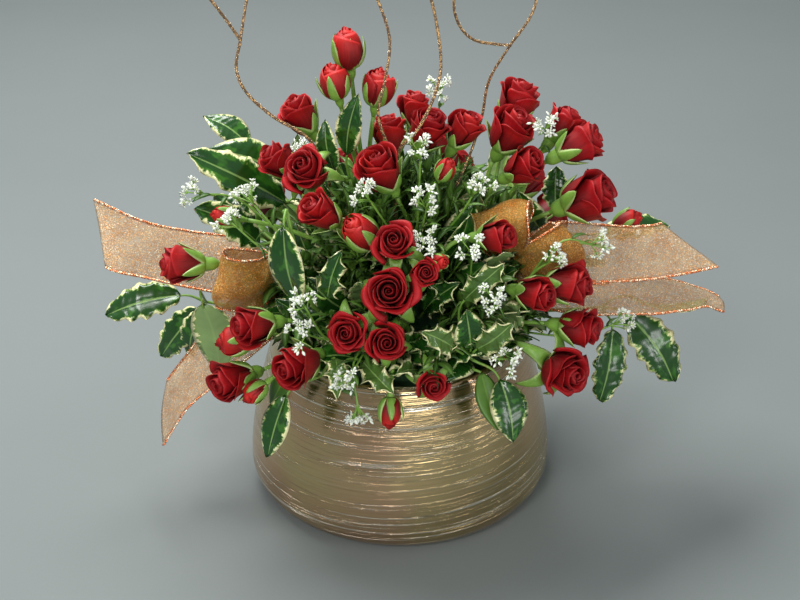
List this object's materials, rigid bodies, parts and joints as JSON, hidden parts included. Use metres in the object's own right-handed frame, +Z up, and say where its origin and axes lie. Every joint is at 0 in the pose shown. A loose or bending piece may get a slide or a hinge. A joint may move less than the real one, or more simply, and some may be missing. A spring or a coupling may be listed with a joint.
{
  "type": "vase of roses",
  "caption": "Round squat metallic bowl of spray roses with variegated holly, white filler flowers, sheer wired ribbon bows and glittered curly twigs in floral foam.",
  "frame": {"origin": "middle of the bowl's flat base", "axes": "+Z up along the bowl's axis, -Y towards the front of the arrangement, +X to its right"},
  "size_m": [0.4068, 0.2488, 0.3886],
  "materials": {
    "bowl": "champagne-gold metallic glaze, brushed with fine level scratches",
    "foam": "dark green wet floral foam, fine open cells",
    "petals": "deep red velvety petals, darker in the folds",
    "rose_stems": "light green waxy stem, hip and sepals",
    "holly": "glossy dark green leaf with an irregular cream margin",
    "filler": "small matt white florets on thin green stems",
    "ribbon": "sheer copper-gold glitter organza with bright wired edges",
    "curly_twigs": "thin brown twig with gold glitter"
  },
  "bodies": {
    "root": {"curly_twig_left": "curly_twigs", "curly_twigs_right": "curly_twigs", "filler_back": "filler", "filler_front": "filler", "filler_front_right": "filler", "filler_left": "filler", "filler_right": "filler", "filler_top": "filler", "floral_foam": "foam", "holly_back_left": "holly", "holly_back_right": "holly", "holly_front_left": "holly", "holly_front_low": "holly", "holly_front_right": "holly", "holly_left": "holly", "holly_left_low": "holly", "holly_right": "holly", "holly_top_left": "holly", "holly_upper_left": "holly", "holly_upper_right": "holly", "ribbon_left": "ribbon", "ribbon_right": "ribbon", "rose_bud_centre": "petals", "rose_bud_hanging": "petals", "rose_bud_left": "petals", "rose_bud_right": "petals", "rose_bud_top": "petals", "rose_front_right": "petals", "rose_front_rim": "petals", "rose_left": "petals", "rose_left_rim": "petals", "rose_right_large": "petals", "rose_stems_back_left": "rose_stems", "rose_stems_back_right": "rose_stems", "rose_stems_front": "rose_stems", "rose_stems_left": "rose_stems", "rose_stems_left_low": "rose_stems", "rose_stems_left_shoulder": "rose_stems", "rose_stems_right": "rose_stems", "rose_stems_right_low": "rose_stems", "rose_stems_top": "rose_stems", "rose_stems_top_left": "rose_stems", "rose_top_front": "petals", "rose_upper_left": "petals", "roses_back_left": "petals", "roses_back_middle": "petals", "roses_back_right": "petals", "roses_back_top": "petals", "roses_front": "petals", "roses_front_low": "petals", "roses_left_front_buds": "petals", "roses_left_low": "petals", "roses_left_middle": "petals", "roses_left_shoulder": "petals", "roses_right_low": "petals", "roses_right_shoulder": "petals", "roses_right_top": "petals", "roses_tallest_buds": "petals", "roses_top": "petals", "vase": "bowl"}
  },
  "joints": []
}
